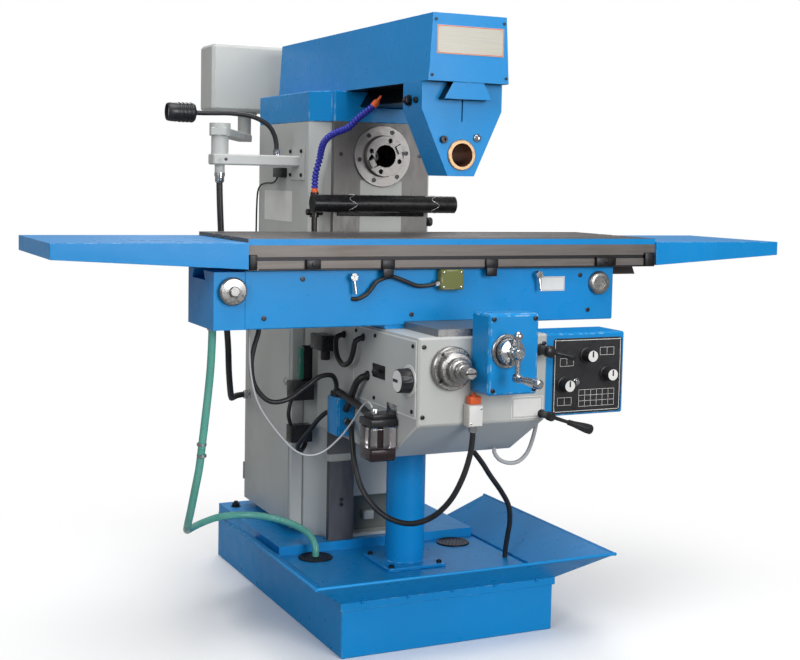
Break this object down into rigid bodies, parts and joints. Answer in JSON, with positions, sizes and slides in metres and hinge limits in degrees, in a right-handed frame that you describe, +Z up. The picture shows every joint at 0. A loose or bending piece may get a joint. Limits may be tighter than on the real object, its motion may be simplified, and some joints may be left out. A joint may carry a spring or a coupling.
{
  "type": "horizontal milling machine",
  "caption": "Horizontal knee-type milling machine with sliding overarm, arbor support, long table with end trays, feed controls and a swinging control box.",
  "frame": {"origin": "on the floor under the spindle axis, in the plane of the column's front guideway", "axes": "+X along the table to the operator's right, +Y from the operator towards the column, +Z up"},
  "size_m": [2.299, 1.8546, 1.8],
  "materials": {
    "blue_paint": "gloss enamel over cast iron and sheet steel",
    "grey_paint": "satin light grey enamel",
    "machined_steel": "ground and machined",
    "dark_steel": "dark oiled sheet",
    "chrome": "polished plating",
    "bronze": "turned bronze",
    "black_plastic": "moulded black plastic",
    "black_rubber": "black rubber",
    "clear_plastic": "clear reservoir with dark oil",
    "green_hose": "translucent green hose",
    "blue_plastic": "moulded segments with orange ends",
    "olive_enamel": "olive enamel",
    "switch_plastic": "light plastic housing",
    "motor_grey": "dark grey enamel"
  },
  "bodies": {
    "frame": {"base": "blue_paint", "chip_tray": "blue_paint", "drain_cover_left": "dark_steel", "drain_cover_right": "dark_steel", "column": "grey_paint", "column_cap": "blue_paint", "rear_cover": "grey_paint", "electric_cabinet": "grey_paint", "front_bearing": "machined_steel", "rear_bearing": "machined_steel", "spindle_flange": "machined_steel", "main_motor": "motor_grey", "drive_belt": "black_rubber", "screw_post": "blue_paint", "elevating_nut": "bronze", "way_guard_plate": "dark_steel", "way_cover_roll": "black_rubber", "support_arm": "grey_paint", "lamp_gooseneck": "black_rubber", "lamp_head": "black_plastic", "coolant_stand": "black_plastic", "coolant_hose": "blue_plastic", "power_conduit": "black_rubber", "return_hose_lower": "green_hose"},
    "overarm": {"overarm": "blue_paint"},
    "arbor_support": {"arbor_support": "blue_paint", "arbor_bush": "bronze"},
    "spindle": {"spindle": "machined_steel", "bull_gear": "machined_steel"},
    "pinion": {"pinion_shaft": "machined_steel"},
    "motor": {"motor_pulley": "machined_steel"},
    "knee": {"knee": "grey_paint", "elevating_screw": "machined_steel", "lubricator": "clear_plastic", "junction_box": "blue_paint", "knee_limit_switch": "switch_plastic", "feed_gearbox": "blue_paint", "feed_control_box": "blue_paint", "switch_conduit": "black_rubber"},
    "saddle": {"saddle": "blue_paint", "saddle_limit_switch": "olive_enamel", "return_hose_upper": "green_hose"},
    "table": {"table": "machined_steel", "table_lead_screw": "machined_steel", "tray_left": "blue_paint", "tray_right": "blue_paint"},
    "swing_link": {"swing_link": "grey_paint"},
    "pendant": {"pendant_box": "grey_paint"},
    "vertical_dial": {"vertical_feed_dial": "machined_steel"},
    "cross_crank": {"cross_feed_crank": "machined_steel"},
    "handle": {"crank_handle": "chrome"},
    "feed_knob_1": {"feed_knob_1": "black_plastic"},
    "feed_knob_2": {"feed_knob_2": "black_plastic"},
    "feed_knob_3": {"feed_knob_3": "black_plastic"},
    "selector": {"selector_knob": "black_plastic"},
    "knee_clamp": {"knee_clamp_lever": "black_plastic"},
    "feed_lever": {"feed_lever": "black_plastic"},
    "table_clamp_left": {"table_clamp_left": "chrome"},
    "table_clamp_right": {"table_clamp_right": "chrome"},
    "table_dial": {"table_feed_dial": "chrome"}
  },
  "joints": [
    {"name": "knee_lift", "type": "slide", "parent": "frame", "child": "knee", "axis": [0, 0, 1], "range_m": [-0.1, 0.17], "deforming": ["return_hose_lower"]},
    {"name": "saddle_cross", "type": "slide", "parent": "knee", "child": "saddle", "axis": [0, 1, 0], "range_m": [-0.195, 0.0015], "deforming": ["return_hose_upper"]},
    {"name": "table_feed", "type": "slide", "parent": "saddle", "child": "table", "axis": [1, 0, 0], "range_m": [-0.39, 0.31]},
    {"name": "overarm_slide", "type": "slide", "parent": "frame", "child": "overarm", "axis": [0, 1, 0], "range_m": [-0.25, 0.09]},
    {"name": "support_slide", "type": "slide", "parent": "overarm", "child": "arbor_support", "axis": [0, 1, 0], "range_m": [-0.03, 0.1]},
    {"name": "spindle_spin", "type": "hinge", "parent": "frame", "child": "spindle", "pos_m": [0, 0, 1.407], "axis": [0, -1, 0], "continuous": true},
    {"name": "pinion_spin", "type": "hinge", "parent": "frame", "child": "pinion", "pos_m": [0, 0.3, 1.287], "axis": [0, -1, 0], "continuous": true},
    {"name": "motor_spin", "type": "hinge", "parent": "frame", "child": "motor", "pos_m": [0, 0.45, 0.4], "axis": [0, -1, 0], "continuous": true},
    {"name": "arm_swing", "type": "hinge", "parent": "frame", "child": "swing_link", "pos_m": [-0.476, 0.18, 1.47], "axis": [0, 0, 1], "range_deg": [0, 200]},
    {"name": "pendant_turn", "type": "hinge", "parent": "swing_link", "child": "pendant", "pos_m": [-0.192, 0.79, 1.6], "axis": [0, 0, 1], "range_deg": [-90, 90]},
    {"name": "vertical_dial_turn", "type": "hinge", "parent": "knee", "child": "vertical_dial", "pos_m": [-0.104, -0.77, 0.831], "axis": [0, -1, 0], "continuous": true},
    {"name": "cross_crank_turn", "type": "hinge", "parent": "knee", "child": "cross_crank", "pos_m": [0.01, -0.83, 0.885], "axis": [0, -1, 0], "continuous": true},
    {"name": "handle_spin", "type": "hinge", "parent": "cross_crank", "child": "handle", "pos_m": [0.01, -0.93, 0.82], "axis": [0, -1, 0], "continuous": true},
    {"name": "feed_knob_1_turn", "type": "hinge", "parent": "knee", "child": "feed_knob_1", "pos_m": [0.339, -0.71, 0.848], "axis": [0, -1, 0], "range_deg": [-135, 135]},
    {"name": "feed_knob_2_turn", "type": "hinge", "parent": "knee", "child": "feed_knob_2", "pos_m": [0.408, -0.71, 0.792], "axis": [0, -1, 0], "range_deg": [-135, 135]},
    {"name": "feed_knob_3_turn", "type": "hinge", "parent": "knee", "child": "feed_knob_3", "pos_m": [0.265, -0.71, 0.766], "axis": [0, -1, 0], "range_deg": [-135, 135]},
    {"name": "selector_turn", "type": "hinge", "parent": "knee", "child": "selector", "pos_m": [-0.22, -0.658, 0.794], "axis": [-1, 0, 0], "range_deg": [-120, 120]},
    {"name": "knee_clamp_turn", "type": "hinge", "parent": "knee", "child": "knee_clamp", "pos_m": [0.176, -0.73, 0.871], "axis": [0, -1, 0], "range_deg": [-40, 40]},
    {"name": "feed_lever_turn", "type": "hinge", "parent": "knee", "child": "feed_lever", "pos_m": [0.185, -0.73, 0.69], "axis": [0, -1, 0], "range_deg": [-30, 35]},
    {"name": "table_clamp_left_turn", "type": "hinge", "parent": "saddle", "child": "table_clamp_left", "pos_m": [-0.306, -0.5, 1.064], "axis": [0, -1, 0], "range_deg": [-60, 60]},
    {"name": "table_clamp_right_turn", "type": "hinge", "parent": "saddle", "child": "table_clamp_right", "pos_m": [0.286, -0.5, 1.064], "axis": [0, -1, 0], "range_deg": [-60, 60]},
    {"name": "table_dial_turn", "type": "hinge", "parent": "saddle", "child": "table_dial", "pos_m": [-0.65, -0.5, 1.03], "axis": [0, -1, 0], "continuous": true}
  ],
  "couplings": [
    {"joint": "pinion_spin", "follows": "spindle_spin", "ratio": -2.75},
    {"joint": "motor_spin", "follows": "spindle_spin", "ratio": -2.75}
  ]
}
